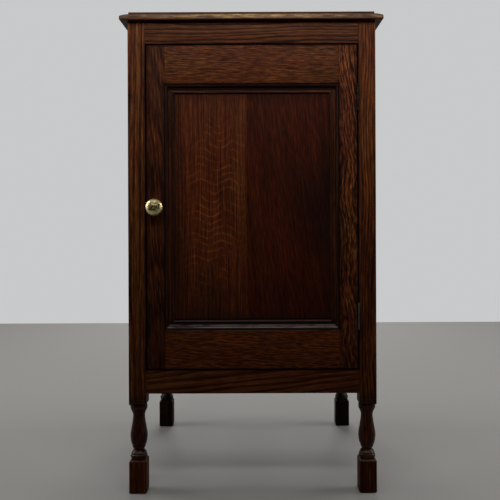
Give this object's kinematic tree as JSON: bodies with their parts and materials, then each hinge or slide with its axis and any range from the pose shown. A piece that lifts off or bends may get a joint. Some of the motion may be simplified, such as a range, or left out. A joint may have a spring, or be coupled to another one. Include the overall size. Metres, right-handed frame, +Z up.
{
  "type": "record cabinet",
  "caption": "Free-standing oak cabinet on turned legs with one panelled door, a round brass knob and slots inside for storing records on edge.",
  "frame": {"origin": "on the floor, under the middle of the overall bounding box", "axes": "+Z up, the door's front faces -Y, +X to the right as seen from the front"},
  "size_m": [0.4832, 0.4344, 0.889],
  "materials": {
    "oak": "dark stained, waxed",
    "inner_wood": "unpolished, aged",
    "hinge_metal": "aged, dark",
    "steel": "dull",
    "knob_brass": "worn polish"
  },
  "bodies": {
    "carcass": {"top_board": "oak", "front_left_post": "oak", "front_right_post": "oak", "rear_left_post": "oak", "rear_right_post": "oak", "front_top_rail": "oak", "front_bottom_rail": "oak", "rear_top_rail": "oak", "rear_bottom_rail": "oak", "left_top_rail": "oak", "left_bottom_rail": "oak", "right_top_rail": "oak", "right_bottom_rail": "oak", "left_side_panel": "oak", "right_side_panel": "oak", "back_panel": "inner_wood", "bottom_board": "inner_wood", "inner_top": "inner_wood", "record_shelf": "inner_wood", "left_shelf_bearer": "inner_wood", "right_shelf_bearer": "inner_wood", "upper_divider_1": "inner_wood", "upper_divider_2": "inner_wood", "upper_divider_3": "inner_wood", "upper_divider_4": "inner_wood", "upper_divider_5": "inner_wood", "lower_divider_1": "inner_wood", "lower_divider_2": "inner_wood", "lower_divider_3": "inner_wood", "lower_divider_4": "inner_wood", "lower_divider_5": "inner_wood", "door_stop": "inner_wood", "top_glue_blocks": "inner_wood", "upper_hinge_post_leaf": "hinge_metal", "upper_hinge_pin": "hinge_metal", "lower_hinge_post_leaf": "hinge_metal", "lower_hinge_pin": "hinge_metal", "hinge_post_screws": "steel", "back_panel_screws": "steel"},
    "door": {"door_left_stile": "oak", "door_right_stile": "oak", "door_top_rail": "oak", "door_bottom_rail": "oak", "door_panel_left_board": "oak", "door_panel_right_board": "oak", "door_left_moulding": "oak", "door_right_moulding": "oak", "door_top_moulding": "oak", "door_bottom_moulding": "oak", "upper_hinge_door_leaf": "hinge_metal", "lower_hinge_door_leaf": "hinge_metal", "hinge_door_screws": "steel"},
    "latch": {"knob": "knob_brass", "knob_spindle": "steel", "spindle_collar": "steel", "latch_tongue": "steel", "latch_nut": "steel"}
  },
  "joints": [
    {"name": "door_hinge", "type": "hinge", "parent": "carcass", "child": "door", "pos_m": [0.1956, -0.19225, 0.529], "axis": [0, 0, 1], "range_deg": [0, 180]},
    {"name": "knob_turn", "type": "hinge", "parent": "door", "child": "latch", "pos_m": [-0.1776, -0.1892, 0.529], "axis": [0, 1, 0], "range_deg": [0, 90]}
  ]
}
